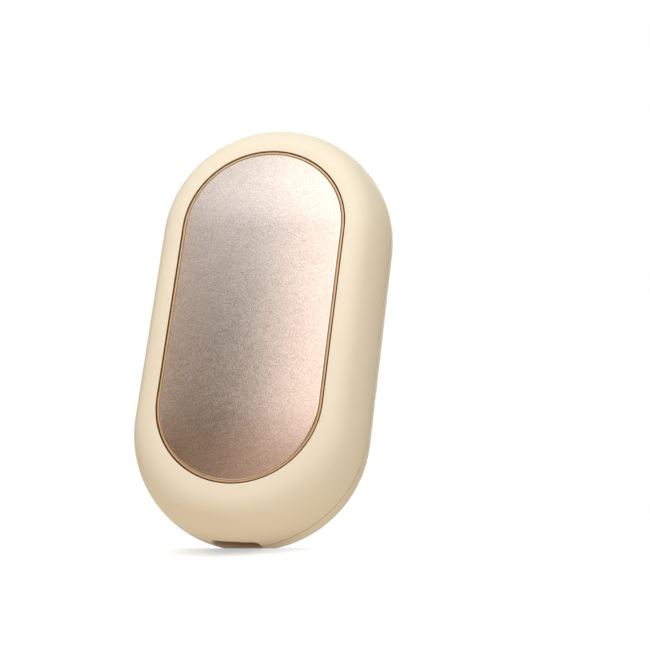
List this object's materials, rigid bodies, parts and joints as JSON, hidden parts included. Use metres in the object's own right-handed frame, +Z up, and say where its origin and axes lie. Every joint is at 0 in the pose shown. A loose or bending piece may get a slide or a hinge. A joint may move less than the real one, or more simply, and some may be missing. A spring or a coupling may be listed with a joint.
{
  "type": "rechargeable hand warmer",
  "caption": "Palm-sized rechargeable hand warmer: rounded pill body with a metal heating plate on one face, a round button and charge lights on the other, and a charging port in its foot.",
  "frame": {"origin": "middle of the foot, on the surface that the body stands on, on the seam between the shells", "axes": "+X to the left of someone facing the button, +Y from the heating plate's face towards the button's face, +Z up the length of the body"},
  "size_m": [0.054, 0.026, 0.1],
  "materials": {
    "cream_shell": "soft-touch satin cream",
    "champagne_plate": "brushed, anodised champagne",
    "rose_trim": "anodised rose gold",
    "adhesive_black": "matt",
    "film_amber": "polyimide film",
    "trace_copper": "etched foil",
    "pad_white": "felted heat pad",
    "sensor_black": "epoxy bead",
    "cradle_black": "moulded, fine texture",
    "foam_grey": "foam",
    "can_steel": "nickel-plated steel",
    "core_grey": "wound electrodes",
    "sleeve_blue": "shrink sleeve",
    "washer_white": "insulating paper",
    "strip_nickel": "nickel strip",
    "board_green": "solder mask",
    "chip_black": "moulded package",
    "chip_tan": "ceramic parts",
    "ferrite_grey": "ferrite",
    "plunger_white": "moulded",
    "light_white": "moulded package",
    "guide_clear": "clear moulding",
    "header_white": "moulded",
    "port_steel": "drawn steel",
    "contact_gold": "plated",
    "wire_black": "silicone insulation",
    "wire_red": "silicone insulation",
    "wire_white": "silicone insulation",
    "screw_steel": "zinc plated"
  },
  "bodies": {
    "housing": {"front_shell": "cream_shell", "rear_shell": "cream_shell", "heating_plate": "champagne_plate", "trim_ring": "rose_trim", "plate_gasket": "adhesive_black", "heater_film": "film_amber", "heater_trace": "trace_copper", "heat_pad": "pad_white", "thermistor": "sensor_black", "battery_cradle": "cradle_black", "end_pads": "foam_grey", "left_cell_can": "can_steel", "right_cell_can": "can_steel", "left_cell_core": "core_grey", "right_cell_core": "core_grey", "left_cell_sleeve": "sleeve_blue", "right_cell_sleeve": "sleeve_blue", "left_cell_cap": "can_steel", "right_cell_cap": "can_steel", "left_cell_washer": "washer_white", "right_cell_washer": "washer_white", "lower_strip": "strip_nickel", "upper_strip": "strip_nickel", "main_board": "board_green", "board_insulator": "washer_white", "tact_switch": "chip_black", "charge_lights": "light_white", "light_guide": "guide_clear", "charge_chip": "chip_black", "control_chip": "chip_black", "heater_switches": "chip_black", "chip_parts": "chip_tan", "inductor": "ferrite_grey", "battery_header": "header_white", "heater_header": "header_white", "port_board": "board_green", "port_shell": "port_steel", "port_tongue": "chip_black", "port_contacts": "contact_gold", "negative_lead": "wire_black", "positive_lead": "wire_red", "port_leads": "wire_red", "heater_leads": "wire_white", "sensor_leads": "wire_black", "cradle_screws": "screw_steel", "board_screws": "screw_steel"},
    "button": {"power_button": "cream_shell"},
    "plunger": {"tact_plunger": "plunger_white"}
  },
  "joints": [
    {"name": "button_press", "type": "slide", "parent": "housing", "child": "button", "axis": [0, -1, 0], "range_m": [0, 0.0003], "stiffness_N_per_m": 6000},
    {"name": "tact_press", "type": "slide", "parent": "housing", "child": "plunger", "axis": [0, -1, 0], "range_m": [0, 0.0003]}
  ],
  "couplings": [
    {"joint": "tact_press", "follows": "button_press", "ratio": 1}
  ]
}
